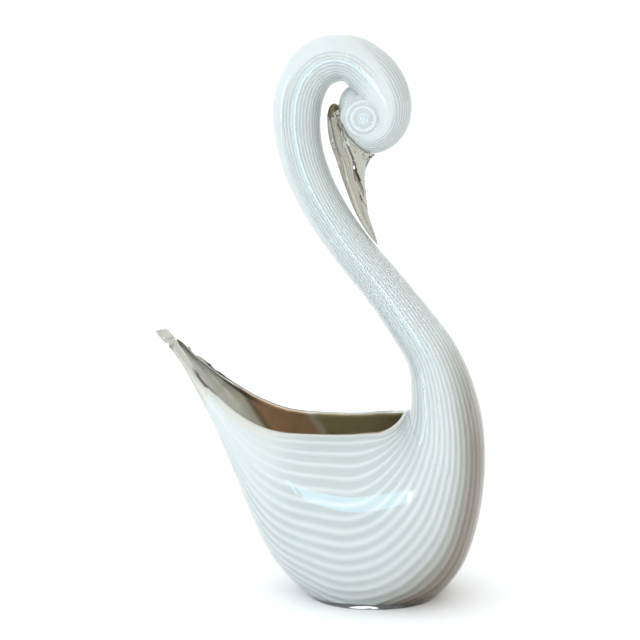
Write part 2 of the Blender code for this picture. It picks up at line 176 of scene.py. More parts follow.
def swing(us, s, turn):
    # the slice closes softly for the middle columns, and only those by the rim turn in sharply
    along = (s - mouthFrom) / mouthLong
    if along <= mouth["softFrom"] or along >= 1.0:
        return us * turn
    soft = math.pi - mouth["softOpenTurn"] * ease((1.0 - along) / mouth["softCloseShare"])
    base = turn + (soft - turn) * ease((along - mouth["softFrom"]) / mouth["softEase"])
    return us * base + np.sign(us) * np.abs(us) ** mouth["softClosePower"] * (turn - base)


def sliceFrame(row):
    low = np.array([row[0], 0.0, row[1]])
    high = np.array([row[2], 0.0, row[3]])
    reach = float(np.linalg.norm(high - low))
    if reach < 1e-6:
        return low, np.array([0.0, 0.0, 1.0]), 0.0
    return low, (high - low) / reach, reach


def outsideRing(s, us, inset=0.0, rimInset=0.0):
    row = swan.row(s)
    low, up, reach = sliceFrame(row)
    half = max(row[4], 0.0)
    inset = min(inset, insetMost["reach"] * reach, insetMost["half"] * half)
    gape = mouthHalf(s)
    topInset = inset
    if gape > 0.0:
        topInset = inset * rimInset / (gape + rimInset) if rimInset > 0.0 else 0.0
        gape = gape * gape / (gape + rimInset)
    half = max(half - inset, 1e-6)
    reach = reach - inset - topInset
    turn = math.pi - math.asin(min(gape / half, widestMouth)) if gape > 0.0 else math.pi
    tall = reach / (1.0 - math.cos(turn))
    v = swing(us, s, turn)
    base = low + up * inset
    points = base + np.outer(tall * (1.0 - np.cos(v)), up)
    points[:, 1] += half * np.sin(v)
    return points


def wallAt(s):
    thicker = ease((s - cavityFrom) / (glassWall["bowlEase"] * mouthLong))
    return glassWall["tail"] + (glassWall["bowl"] - glassWall["tail"]) * thicker


def rimWallAt(s):
    thicker = ease((s - mouthFrom) / mouthLong / glassWall["rimEase"])
    return glassWall["tailRim"] + (glassWall["rim"] - glassWall["tailRim"]) * thicker


def insideStation(s):
    # the inside slice that meets the mouth slice at s: later at the tail, earlier at the neck
    share = (s - mouthFrom) / mouthLong
    later = glassWall["cavityStart"] * (1.0 - ease(share / glassWall["lateUntil"]))
    back = ease((share - glassWall["backFrom"]) / (1.0 - glassWall["backFrom"]))
    return s + later - glassWall["mouthBack"] * back


def blindEnd(depth):
    # where a layer at that depth ends inside the breast
    return cavityTo + (1.0 - depth) * glassWall["blindGrow"]


def insideRing(t, us, s, depth=1.0):
    # depth 1 is the face of the cavity, 0 is the outside
    row = swan.row(t)
    low, up, reach = sliceFrame(row)
    wall = wallAt(t)
    start = ease((t - cavityFrom) / glassWall["startEase"])
    sideWall = rimWallAt(s) + (wall - glassWall["tail"]) * glassWall["sideShare"]
    half = (row[4] - sideWall * depth) * start
    rim = max(mouthHalf(s) - rimWallAt(s) * depth, 0.0) * start
    turn = math.pi - math.asin(min(rim / max(half, 1e-6), widestMouth))
    wall = wall * depth
    nape = glassWall["nape"] * depth * ease((t - mouthTo) / glassWall["napeEase"] + 1.0)
    tall = reach / (1.0 - math.cos(turn))
    below = tall - wall
    above = tall
    if turn > 0.5 * math.pi + 1e-3:
        above = (reach - tall - nape) / -math.cos(turn)
    v = swing(us, s, turn)
    rise = np.where(np.abs(v) > 0.5 * math.pi, -np.cos(v) * above, -np.cos(v) * below)
    level = reach - (reach - (wall + below + rise)) * start
    points = low + np.outer(level, up)
    points[:, 1] += half * np.sin(v)
    if t > mouthTo:
        shrink = math.sqrt(max(1.0 - ((t - mouthTo) / (blindEnd(depth) - mouthTo)) ** 2, 0.0))
        middle = low + up * (wall + reach - nape) * 0.5
        points = middle + (points - middle) * shrink
    floorZ = glassWall["floorZ"] - (1.0 - depth) * glassWall["floorDrop"]
    lift = 0.5 * (points[:, 2] - floorZ)
    points[:, 2] = floorZ + lift + np.sqrt(lift * lift + glassWall["floorEase"] ** 2)
    return points


class Skin:
    # collects points and faces, with a few numbers kept on every point for the node trees and materials
    def __init__(self, keep=()):
        self.mesh = bmesh.new()
        self.keep = {name: self.mesh.verts.layers.float.new(name) for name in keep}

    def point(self, p, values=()):
        vert = self.mesh.verts.new((p[0] * mm, p[1] * mm, p[2] * mm))
        for layer, value in zip(self.keep.values(), values):
            vert[layer] = value
        return vert

    def strip(self, one, two):
        for a, b, c, d in zip(one[:-1], one[1:], two[1:], two[:-1]):
            corners = []
            for corner in (a, b, c, d):
                if corner not in corners:
                    corners.append(corner)
            if len(corners) > 2:
                self.mesh.faces.new(corners)

    def ring(self, points, closed, values=None):
        count = len(points) - 1 if closed else len(points)
        made = [self.point(points[i], values[i] if values else ()) for i in range(count)]
        return made + [made[0]] if closed else made

    def pole(self, p, columns, values=()):
        only = self.point(p, values)
        return [only] * (columns + 1)

    def strips(self, rings):
        for one, two in zip(rings[:-1], rings[1:]):
            self.strip(one, two)


def mouthStations(first, count):
    # closer together at both ends of the mouth, where it rounds off
    stations = []
    for i in range(count + 1):
        turn = math.pi * i / count
        share = 0.5 * (1.0 - math.cos(turn) * (1.0 - mouth["endCrowd"] * math.sin(turn)))
        stations.append(first + (mouthTo - first) * share)
    return stations


def lips(skin, outer, inner, stations, steps, lift, values=(), roundTop=True):
    # the top of the glass on both sides of the mouth, a half circle or as tall as the lift says
    shared = {}
    for side in (0, -1):
        lines = [[] for _ in range(steps + 2)]
        for i, s in enumerate(stations):
            p = np.array(outer[i][side].co) / mm
            q = np.array(inner[i][side].co) / mm
            lean = math.radians(between(mouth["lipLeans"], (s - mouthFrom) / mouthLong))
            across = 0.5 * (q - p)
            size = max(float(np.linalg.norm(across)), 1e-6)
            rise = np.array([math.sin(lean), 0.0, math.cos(lean)])
            rise = rise - across * float(rise @ across) / size ** 2
            rise = rise / np.linalg.norm(rise)
            # a layer's top starts flat and then rises with the wall
            if roundTop:
                high = min(size, lift, mouth["lipTall"] * rimWallAt(s))
            else:
                high = lift * min(1.0, rimWallAt(s) / glassWall["rim"])
                high *= ease((s - stations[0] + 1.0) / mouth["lipRise"])
            joined = outer[i][0] is outer[i][-1]
            lines[0].append(outer[i][side])
            for k in range(1, steps + 1):
                over = math.pi * k / (steps + 1)
                if joined and (i, k) in shared:
                    lines[k].append(shared[(i, k)])
                    continue
                spot = 0.5 * (p + q) - across * math.cos(over) + rise * high * math.sin(over)
                made = skin.point(spot, values)
                lines[k].append(made)
                if joined:
                    shared[(i, k)] = made
            lines[steps + 1].append(inner[i][side])
        skin.strips(lines)


def closeInside(skin, inner, us, count, depth=1.0, mark=()):
    # the inside of a layer from the mouth to its blind end in the breast
    rings = list(inner)
    closedFrom = insideStation(mouthTo)
    stop = blindEnd(depth)
    values = [mark] * len(us) if mark else None
    for k in range(1, count):
        t = closedFrom + (stop - closedFrom) * math.sin(0.5 * math.pi * k / count)
        rings.append(skin.ring(insideRing(t, us, mouthTo, depth), True, values))
    rings.append(skin.pole(insideRing(stop, us, mouthTo, depth)[0], len(us) - 1, mark))
    skin.strips(rings)


def finishMesh(mesh, name, material):
    # turns the faces outward and puts the mesh in a smooth-shaded object at the origin
    bmesh.ops.recalc_face_normals(mesh, faces=mesh.faces)
    data = bpy.data.meshes.new(name)
    mesh.to_mesh(data)
    mesh.free()
    for face in data.polygons:
        face.use_smooth = True
    data.materials.append(material)
    thing = bpy.data.objects.new(name, data)
    scene.collection.objects.link(thing)
    return thing


def cutFlat(mesh, height):
    cut = bmesh.ops.bisect_plane(mesh, geom=mesh.verts[:] + mesh.edges[:] + mesh.faces[:],
                                 plane_co=(0.0, 0.0, height * mm), plane_no=(0.0, 0.0, 1.0),
                                 dist=1e-7, clear_inner=True)
    edges = [e for e in cut["geom_cut"] if isinstance(e, bmesh.types.BMEdge)]
    bmesh.ops.contextual_create(mesh, geom=edges)


def bakeDown(thing):
    # replaces the mesh by what its modifiers make of it
    shape = bpy.context.evaluated_depsgraph_get()
    done = bpy.data.meshes.new_from_object(thing.evaluated_get(shape))
    thing.modifiers.clear()
    thing.data = done


def combine(thing, other, operation):
    step = thing.modifiers.new(operation.lower(), "BOOLEAN")
    step.operation = operation
    step.solver = "EXACT"
    step.object = other
    bakeDown(thing)
    bpy.data.objects.remove(other)


def spread(count):
    return np.linspace(-1.0, 1.0, count + 1)


def declare(thing, node):
    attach(thing, "root")
    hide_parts(node)
    print(thing.name, len(thing.data.polygons), "faces")


def newMaterial(name):
    material = bpy.data.materials.new(name)
    material.use_nodes = True
    return material, material.node_tree, material.node_tree.nodes["Principled BSDF"]


def attribute(tree, name):
    node = tree.nodes.new("ShaderNodeAttribute")
    node.attribute_name = name
    return node.outputs["Fac"]


def mixColours(tree, factor, one, two):
    node = tree.nodes.new("ShaderNodeMix")
    node.data_type = "RGBA"
    for index, value in ((0, factor), (6, one), (7, two)):
        if hasattr(value, "links"):
            tree.links.new(value, node.inputs[index])
        else:
            node.inputs[index].default_value = value
    return node.outputs[2]


def noise(tree, scale, detail, spot):
    node = tree.nodes.new("ShaderNodeTexNoise")
    node.inputs["Scale"].default_value = scale
    node.inputs["Detail"].default_value = detail
    tree.links.new(spot, node.inputs["Vector"])
    return node.outputs["Fac"]


def rangeOf(tree, value, fromLow, fromHigh, toLow=0.0, toHigh=1.0):
    node = tree.nodes.new("ShaderNodeMapRange")
    node.interpolation_type = "SMOOTHSTEP"
    tree.links.new(value, node.inputs["Value"])
    node.inputs["From Min"].default_value = fromLow
    node.inputs["From Max"].default_value = fromHigh
    node.inputs["To Min"].default_value = toLow
    node.inputs["To Max"].default_value = toHigh
    return node.outputs["Result"]


def ramp(tree, value, fromLow, fromHigh, stops):
    # colours along a line, with the stops in the same units as the value
    spanned = tree.nodes.new("ShaderNodeMapRange")
    tree.links.new(value, spanned.inputs["Value"])
    spanned.inputs["From Min"].default_value = fromLow
    spanned.inputs["From Max"].default_value = fromHigh
    node = tree.nodes.new("ShaderNodeValToRGB")
    marks = node.color_ramp.elements
    while len(marks) < len(stops):
        marks.new(0.5)
    for mark, (at, colour) in zip(marks, stops):
        mark.position = (at - fromLow) / (fromHigh - fromLow)
        mark.color = colour
    tree.links.new(spanned.outputs["Result"], node.inputs["Fac"])
    return node.outputs["Color"]


def maths(tree, operation, one, two=None):
    node = tree.nodes.new("ShaderNodeMath")
    node.operation = operation
    for index, value in enumerate((one, two)):
        if hasattr(value, "links"):
            tree.links.new(value, node.inputs[index])
        elif value is not None:
            node.inputs[index].default_value = value
    return node.outputs[0]


def objectSpot(tree):
    spot = tree.nodes.new("ShaderNodeTexCoord").outputs["Object"]
    split = tree.nodes.new("ShaderNodeSeparateXYZ")
    tree.links.new(spot, split.inputs[0])
    return spot, split.outputs["X"], split.outputs["Z"]


eggMesh = {"columns": 64, "rings": 48}
tailTint = {"centre": (-107.6, 0.0, 132.6), "radii": (10.6, 4.8, 1.2), "turn": -43.0}
tipTint = {"centre": (-112.9, 0.0, 138.2), "radii": (4.4, 3.5, 1.95), "turn": -38.0}
beakTint = {"centre": (-21.0, 0.0, 259.8), "radii": (1.7, 2.8, 3.8), "turn": -14.0}


def egg(name, material, shape):
    # a smooth lump of glass, turned as seen from the side
    skin = Skin()
    columns, count = eggMesh["columns"], eggMesh["rings"]
    turns = np.linspace(0.0, 2.0 * math.pi, columns + 1)
    lean = math.radians(shape["turn"])
    rings = []
    for i in range(count + 1):
        tilt = math.pi * i / count - 0.5 * math.pi
        x = shape["radii"][0] * math.cos(tilt) * np.cos(turns)
        z = shape["radii"][2] * math.cos(tilt) * np.sin(turns)
        points = np.stack([shape["centre"][0] + x * math.cos(lean) - z * math.sin(lean),
                           np.full(columns + 1, shape["centre"][1] + shape["radii"][1] * math.sin(tilt)),
                           shape["centre"][2] + x * math.sin(lean) + z * math.cos(lean)], axis=1)
        rings.append(skin.pole(points[0], columns) if i in (0, count) else skin.ring(points, True))
    skin.strips(rings)
    return finishMesh(skin.mesh, name, material)


eyeDisc = {
    "radius": 13.3, "halfWidth": 11.2, "flatness": 0.34, "rings": 150, "columns": 128,
    # each raised ring: radius, height, width
    "raised": [(2.4, 0.16, 0.7), (6.0, 0.48, 0.5), (8.8, 0.36, 0.5), (11.4, 0.26, 0.5)],
    "whiteInset": 1.3, "tone": (0.25, 1.9),  # how white it is, and how much more so per mm of a ring
}
eyeWedge = {"centre": (-10.3, 0.0, 262.6), "radii": (8.2, 10.0, 10.4), "turn": 0.0}


def eyeLens(name, material, radius, halfWidth, raised):
    # the disc of glass at the eye of the curl, with raised rings on both sides
    skin = Skin(("rib",))
    count, columns = eyeDisc["rings"], eyeDisc["columns"]
    turns = np.linspace(0.0, 2.0 * math.pi, columns + 1)
    rings = []
    for i in range(count + 1):
        tilt = math.pi * i / count - 0.5 * math.pi
        flat = radius * max(math.cos(tilt), 0.0)
        side = halfWidth * abs(math.sin(tilt)) ** eyeDisc["flatness"]
        lift = sum(high * math.exp(-((flat - at) / wide) ** 2) for at, high, wide in raised)
        side = math.copysign(side + lift * min(abs(tilt) * 3.0, 1.0), tilt)
        points = np.stack([headEye[0] + flat * np.cos(turns), np.full(columns + 1, side),
                           headEye[1] + flat * np.sin(turns)], axis=1)
        values = [(eyeDisc["tone"][0] + eyeDisc["tone"][1] * lift,)] * (columns + 1)
        rings.append(skin.pole(points[0], columns, values[0]) if i in (0, count) else
                     skin.ring(points, True, values))
    skin.strips(rings)
    return finishMesh(skin.mesh, name, material)


clearSkin = {
    "ringsTail": 3, "ringsMouth": 110, "ringsNeck": 190, "columns": 192, "insideColumns": 96,
    "blindRings": 26, "lipSteps": 9, "lipLift": 2.0,
    "colour": (0.985, 0.995, 0.995, 1.0),
}


def clearGlass(name, colour):
    material, tree, shader = newMaterial(name)
    shader.inputs["Base Color"].default_value = colour
    shader.inputs["Roughness"].default_value = 0.0
    shader.inputs["IOR"].default_value = 1.5
    shader.inputs["Transmission Weight"].default_value = 1.0
    return material


def buildSkin(material):
    skin = Skin()
    columns = clearSkin["columns"]
    us = spread(columns)
    inUs = spread(clearSkin["insideColumns"])
    stations = mouthStations(mouthFrom, clearSkin["ringsMouth"])
    last = len(stations) - 1
    rings = [skin.pole(outsideRing(0.0, us)[0], columns)]
    for s in np.linspace(0.0, mouthFrom, clearSkin["ringsTail"] + 1)[1:-1]:
        rings.append(skin.ring(outsideRing(s, us), True))
    around = [skin.ring(outsideRing(s, us), i in (0, last)) for i, s in enumerate(stations)]
    rings += around
    for s in np.linspace(mouthTo, swan.length, clearSkin["ringsNeck"] + 1)[1:-1]:
        rings.append(skin.ring(outsideRing(s, us), True))
    rings.append(skin.pole(outsideRing(swan.length, us)[0], columns))
    skin.strips(rings)
    inner = []
    for i, s in enumerate(stations):
        points = insideRing(insideStation(s), inUs, s)
        inner.append(skin.pole(points[0], len(inUs) - 1) if i == 0 else skin.ring(points, i == last))
    closeInside(skin, inner, inUs, clearSkin["blindRings"])
    lips(skin, around, inner, stations, clearSkin["lipSteps"], clearSkin["lipLift"])
    bmesh.ops.recalc_face_normals(skin.mesh, faces=skin.mesh.faces)
    cutFlat(skin.mesh, 0.0)
    thing = finishMesh(skin.mesh, "clear_skin", material)
    eye = eyeLens("eye_union", material, eyeDisc["radius"], eyeDisc["halfWidth"], eyeDisc["raised"])
    combine(eye, egg("wedge_union", material, eyeWedge), "UNION")
    combine(thing, eye, "UNION")
    return thing


whiteCore = {
    "inset": 1.35, "rimInset": 0.9, "insideDepth": 0.80,
    # the end towards the tail: where, how slanted, and how it thickens
    "startBackX": -82.0, "startSlant": 9.0, "startEase": 30.0,
    "startInset": 0.35, "slantInset": 0.6, "insetEase": 10.0,
    "ribCount": 40, "ribDepth": 0.75, "ribWidth": 0.95, "fadeTail": 18.0, "fadeHead": 16.0,
    # how far apart the ribs lie under the rim, at the tail, along the mouth and on the neck; 1 is even
    "gapTail": 1.40, "gapMouth": 0.94, "gapNeck": 1.0,
    # how far round the slice the ribs reach on the neck, and where they start on the head
    "calmAbove": [(311.0, 1.2), (345.0, 0.93), (385.0, 0.77), (540.0, 0.66), (600.0, 0.58)],
    "headRibsAbove": [(618.0, 0.80), (650.0, 0.62), (672.0, 0.56), (720.0, 0.50)],
    "calmRibs": 0.10, "calmTone": 0.82,
    # each pair says where something starts and over how long a way it comes
    "tailCalm": 0.8, "tailCalmEdge": (0.42, 0.15), "tailCalmEnd": (95.0, 60.0),
    "neckEdge": 0.06, "neckRibsEnd": (628.0, 20.0), "headEdge": 0.08, "headRibsStart": (616.0, 22.0),
    "gapMouthStart": (80.0, 130.0), "gapNeckStart": (380.0, 50.0), "gapPower": 5,
    "narrowRibs": 0.6, "narrowEdge": (0.53, 0.25),
    "creamWide": 0.085, "creamEnd": (125.0, 45.0), "creamEdge": 0.02, "creamMouth": 4.0,
    "columns": 280, "ringsMouth": 96, "ringsNeck": 160, "insideColumns": 56, "blindRings": 26,
    "lipLift": 0.9, "lipSteps": 4,
    "crest": (0.935, 0.955, 0.95, 1.0), "valley": (0.67, 0.715, 0.70, 1.0), "lip": (0.90, 0.88, 0.81, 1.0),
    "cloud": (0.76, 0.82, 0.81, 1.0), "cloudScale": 28.0, "cloudRange": (0.3, 0.7, 0.0, 0.14),
    "roughness": 0.45, "shine": 0.1,
    "footLift": 3.4, "footEase": 14.0, "footX": 3.0, "footInset": 0.12, "breastInset": 0.42,
    "inside": (0.44, 0.37, 0.28, 1.0), "lipInside": 0.25,
    # partly brown glass showing through where the white is thinner, partly painted shade and a painted
    # reflection of a brown surface, down the front of the breast and under the tail: how much of it by
    # station, and how far round the slice it is even and then gone
    "breastShade": [(196.0, 0.0), (224.0, 1.0), (335.0, 0.90), (402.0, 0.0)], "breastReach": (0.16, 0.44),
    "tailShade": [(95.0, 0.0), (125.0, 0.35), (160.0, 0.35), (185.0, 0.0)], "tailReach": (0.0, 0.10),
    # the colour of the painted brown shade and reflection, and how much of it the rib crests hold off
    "brownShade": (0.22, 0.145, 0.070, 1.0), "crestKeeps": 0.16,
}


def whiteGlass():
    material, tree, shader = newMaterial("white_glass_ribs")
    spot = objectSpot(tree)[0]
    ribs = mixColours(tree, attribute(tree, "rib"), whiteCore["valley"], whiteCore["crest"])
    clouds = noise(tree, whiteCore["cloudScale"], 3.0, spot)
    ribs = mixColours(tree, rangeOf(tree, clouds, *whiteCore["cloudRange"]), ribs, whiteCore["cloud"])
    # painted brown shade and reflection, a little less on the rib crests
    kept = maths(tree, "MULTIPLY", attribute(tree, "rib"), whiteCore["crestKeeps"])
    brown = maths(tree, "MULTIPLY", attribute(tree, "brownShade"), maths(tree, "SUBTRACT", 1.0, kept))
    ribs = mixColours(tree, brown, ribs, whiteCore["brownShade"])
    ribs = mixColours(tree, attribute(tree, "cream"), ribs, whiteCore["lip"])
    inside = mixColours(tree, attribute(tree, "inner"), ribs, whiteCore["inside"])
    tree.links.new(inside, shader.inputs["Base Color"])
    shader.inputs["Roughness"].default_value = whiteCore["roughness"]
    shader.inputs["Specular IOR Level"].default_value = whiteCore["shine"]
    return material


def ribTree(sizes, material):
    tree = bpy.data.node_groups.new("Glass ribs", "GeometryNodeTree")
    tree.interface.new_socket("Geometry", in_out="INPUT", socket_type="NodeSocketGeometry")
    for label, value in sizes:
        socket = tree.interface.new_socket(label, in_out="INPUT", socket_type="NodeSocketFloat")
        socket.default_value = value
    tree.interface.new_socket("Geometry", in_out="OUTPUT", socket_type="NodeSocketGeometry")
    nodes, link = tree.nodes, tree.links.new
    start = nodes.new("NodeGroupInput")
    end = nodes.new("NodeGroupOutput")

    def named(name):
        node = nodes.new("GeometryNodeInputNamedAttribute")
        node.data_type = "FLOAT"
        node.inputs["Name"].default_value = name
        return node.outputs["Attribute"]

    def sums(operation, one, two=None):
        return maths(tree, operation, one, two)

    # how far each point is from the middle of its rib: 0 on the rib, 1 between two
    phase = sums("FRACT", sums("MULTIPLY", named("across"), start.outputs["Rib Count"]))
    away = sums("MULTIPLY", sums("ABSOLUTE", sums("SUBTRACT", phase, 0.5)), 2.0)
    shape = nodes.new("ShaderNodeMapRange")
    shape.interpolation_type = "SMOOTHSTEP"
    link(away, shape.inputs["Value"])
    shape.inputs["From Min"].default_value = 0.0
    link(sums("MULTIPLY", start.outputs["Rib Width"], named("ribSpan")), shape.inputs["From Max"])
    shape.inputs["To Min"].default_value = 1.0
    shape.inputs["To Max"].default_value = 0.0
    rib = sums("MULTIPLY", shape.outputs["Result"], named("ribFade"))
    sink = sums("MULTIPLY", sums("SUBTRACT", rib, named("ribFade")), start.outputs["Rib Depth"])
    # where the ribs fade out the glass is the colour between crest and valley
    tone = sums("ADD", rib, sums("MULTIPLY", sums("SUBTRACT", 1.0, named("ribFade")), whiteCore["calmTone"]))
    push = nodes.new("ShaderNodeVectorMath")
    push.operation = "SCALE"
    link(nodes.new("GeometryNodeInputNormal").outputs["Normal"], push.inputs[0])
    link(sink, push.inputs["Scale"])
    move = nodes.new("GeometryNodeSetPosition")
    link(start.outputs["Geometry"], move.inputs["Geometry"])
    link(push.outputs[0], move.inputs["Offset"])
    store = nodes.new("GeometryNodeStoreNamedAttribute")
    store.data_type = "FLOAT"
    store.domain = "POINT"
    store.inputs["Name"].default_value = "rib"
    link(move.outputs["Geometry"], store.inputs["Geometry"])
    link(tone, store.inputs["Value"])
    real = nodes.new("GeometryNodeRealizeInstances")
    link(store.outputs["Geometry"], real.inputs["Geometry"])
    paint = nodes.new("GeometryNodeSetMaterial")
    paint.inputs["Material"].default_value = material
    link(real.outputs["Geometry"], paint.inputs["Geometry"])
    link(paint.outputs["Geometry"], end.inputs["Geometry"])
    return tree


def runTree(thing, tree, sizes):
    step = thing.modifiers.new("nodes", "NODES")
    step.node_group = tree
    sockets = {item.name: item.identifier for item in tree.interface.items_tree if item.in_out == "INPUT"}
    for label, value in sizes:
        step[sockets[label]] = value
    bakeDown(thing)
    for face in thing.data.polygons:
        face.use_smooth = True


def ribStrength(s, edge, first):
    # full ribs on the bowl, softer by the tail, and smooth glass on the back of the neck and in the curl
    near = ease((s - first) / whiteCore["fadeTail"]) * ease((swan.length - s) / whiteCore["fadeHead"])
    byTail = 1.0 - climb(s, whiteCore["tailCalmEnd"])
    flank = 1.0 - whiteCore["tailCalm"] * climb(edge, whiteCore["tailCalmEdge"]) * byTail
    neck = 1.0 - climb(edge, (between(whiteCore["calmAbove"], s), whiteCore["neckEdge"]))
    neck = neck * (1.0 - climb(s, whiteCore["neckRibsEnd"]))
    head = climb(edge, (between(whiteCore["headRibsAbove"], s), whiteCore["headEdge"]))
    head = head * climb(s, whiteCore["headRibsStart"])
    calm = whiteCore["calmRibs"]
    return near * flank * (calm + (1.0 - calm) * np.maximum(neck, head))


# how much painted brown shade and reflection a point gets, by station and by how far round the slice
def shadeShare(s, edge, stations, reach):
    even, gone = whiteCore[reach]
    return between(whiteCore[stations], s) * (1.0 - easeAll((edge - even) / (gone - even)))


def coreValues(s, us, first):
    # across: 0 to 1 round the slice; ribFade: how strong the ribs are; ribSpan: how wide each is;
    # cream: the edge under the rim by the tail; inner: the side towards the bowl
    edge = np.abs(us)
    tailGap, mouthGap, neckGap = whiteCore["gapTail"], whiteCore["gapMouth"], whiteCore["gapNeck"]
    wide = tailGap + (mouthGap - tailGap) * climb(s, whiteCore["gapMouthStart"])
    wide += (neckGap - mouthGap) * climb(s, whiteCore["gapNeckStart"])
    share = (1.0 - edge) / wide + (1.0 - 1.0 / wide) * (1.0 - edge) ** whiteCore["gapPower"]
    across = 0.5 + 0.5 * np.sign(us) * (1.0 - share)
    creamEnd, creamLong = whiteCore["creamEnd"]
    bandFrom = 1.0 - whiteCore["creamWide"] * ease((creamEnd - s) / creamLong)
    band = ease(mouthHalf(s) / whiteCore["creamMouth"]) * climb(edge, (bandFrom, whiteCore["creamEdge"]))
    strong = ribStrength(s, edge, first) * (1.0 - band)
    narrow = whiteCore["narrowRibs"]
    span = 1.0 - (1.0 - narrow) * climb(edge, whiteCore["narrowEdge"])
    # painted brown shade and reflection down the breast front and under the tail
    brownShade = shadeShare(s, edge, "breastShade", "breastReach") + shadeShare(s, edge, "tailShade", "tailReach")
    return [(across[j], strong[j], span[j], band[j], 0.0, brownShade[j]) for j in range(len(us))]


def slanted(us, past):
    # how much of the early slice a point takes, by how far it lies past the start of the white
    return (np.abs(us) ** 3 * (1.0 - ease(past / whiteCore["startEase"])))[:, None]


def buildCore(material):
    skin = Skin(("across", "ribFade", "ribSpan", "cream", "inner", "brownShade"))
    columns = whiteCore["columns"]
    insideMark = (0.0, 0.0, 1.0, 0.0, 1.0, 0.0)
    lipMark = (0.0, 0.0, 1.0, 0.0, whiteCore["lipInside"], 0.0)
    tipMark = (0.0, 0.0, 1.0, 0.0, 0.0, 0.0)
    us = spread(columns)
    inUs = spread(whiteCore["insideColumns"])
    first = swan.stationOf(2, whiteCore["startBackX"])
    stations = mouthStations(first, whiteCore["ringsMouth"])
    last = len(stations) - 1

    def outer(s, closed):
        near = ease((s - first) / whiteCore["insetEase"])
        sunk = whiteCore["inset"] * (whiteCore["startInset"] + (1.0 - whiteCore["startInset"]) * near)
        points = outsideRing(s, us, sunk, whiteCore["rimInset"])
        if s < first + whiteCore["startEase"]:
            # the white begins with a slanted edge that runs further out along the rim
            sunk = whiteCore["inset"] * whiteCore["slantInset"]
            early = outsideRing(s - whiteCore["startSlant"], us, sunk, whiteCore["rimInset"])
            points = points + (early - points) * slanted(us, s - first)
        low = easeAll(1.0 - points[:, 2] / whiteCore["footEase"])
        points[:, 0] -= (points[:, 0] - whiteCore["footX"]) * whiteCore["footInset"] * low
        points[:, 0] -= np.maximum(points[:, 0], 0.0) * whiteCore["breastInset"] * low * low
        points[:, 1] -= points[:, 1] * whiteCore["footInset"] * low
        return skin.ring(points, closed, coreValues(s, us, first))

    around = [outer(s, i == last) for i, s in enumerate(stations)]
    rings = list(around)
    for s in np.linspace(mouthTo, swan.length, whiteCore["ringsNeck"] + 1)[1:-1]:
        rings.append(outer(s, True))
    rings.append(skin.pole(outsideRing(swan.length, us)[0], columns, tipMark))
    skin.strips(rings)
    depth = whiteCore["insideDepth"]
    inner = []
    for i, s in enumerate(stations):
        points = insideRing(insideStation(s), inUs, s, depth)
        if s < first + whiteCore["startEase"]:
            t = s - whiteCore["startSlant"]
            early = insideRing(insideStation(t), inUs, t, depth)
            points = points + (early - points) * slanted(inUs, s - first)
        inner.append(skin.ring(points, i == last, [insideMark] * len(inUs)))
    closeInside(skin, inner, inUs, whiteCore["blindRings"], depth, insideMark)
    lips(skin, around, inner, stations, whiteCore["lipSteps"], whiteCore["lipLift"], lipMark, False)
    # the edge at the tail end, between the outside and the inside
    for k in range(len(inUs) - 1):
        fan = around[0][round(k * columns / whiteCore["insideColumns"]):
                        round((k + 1) * columns / whiteCore["insideColumns"]) + 1]
        skin.mesh.faces.new(fan + [inner[0][k + 1], inner[0][k]])
    bmesh.ops.recalc_face_normals(skin.mesh, faces=skin.mesh.faces)
    cutFlat(skin.mesh, whiteCore["footLift"])
    thing = finishMesh(skin.mesh, "white_ribs", material)
    sizes = [("Rib Count", float(whiteCore["ribCount"])), ("Rib Depth", whiteCore["ribDepth"] * mm),
             ("Rib Width", whiteCore["ribWidth"])]
    runTree(thing, ribTree(sizes, material), sizes)
    return thing


lining = {
    "startAfter": 3.5, "outerDepth": 0.86, "innerDepth": 0.94, "lipLift": 1.15, "lipSteps": 4,
    "columns": 96, "rings": 140, "blindRings": 20,
    # where it starts it lies deeper in the wall, and its outer face there is greyed with painted shade
    "startBury": 0.36, "buryEnd": 16.0, "outsideShade": 0.30, "outsideShadeEnd": (34.0, 14.0),
    # where each stop lies: distance in metres along a slanted line from the tail to the breast; the bands
    # are partly the lining's own browns and olives and partly painted light, the pale stops by the tail
    # standing for the lit inner face of the tail and the pale band towards the breast for a painted
    # reflection
    "bandsAndLight": [(-0.0430, (0.50, 0.49, 0.42, 1.0)), (-0.0385, (0.72, 0.71, 0.62, 1.0)),
                (-0.0340, (0.95, 0.94, 0.86, 1.0)), (-0.0225, (0.93, 0.92, 0.78, 1.0)),
                (-0.0200, (0.42, 0.31, 0.18, 1.0)), (-0.0165, (0.80, 0.49, 0.28, 1.0)),
                (0.0060, (0.74, 0.49, 0.28, 1.0)), (0.0105, (0.88, 0.83, 0.68, 1.0)),
                (0.0140, (0.60, 0.51, 0.26, 1.0)), (0.0500, (0.52, 0.44, 0.22, 1.0))],
    "slant": 0.52, "reach": 0.06, "wander": 0.004, "wanderScale": 40.0,
    "streak": (0.40, 0.30, 0.17, 1.0), "streakScale": 90.0, "streakRange": (0.52, 0.66, 0.0, 0.22),
    "roughness": 0.22,
    # painted shade, the darkened line under the far rim: how far round it starts, and along which part of
    # the tail
    "paintedShade": (0.10, 0.08, 0.045, 1.0), "rimShadeFrom": (0.91, 0.03),
    "rimShadeStart": (20.0, 15.0), "rimShadeEnd": (92.0, 25.0),
}


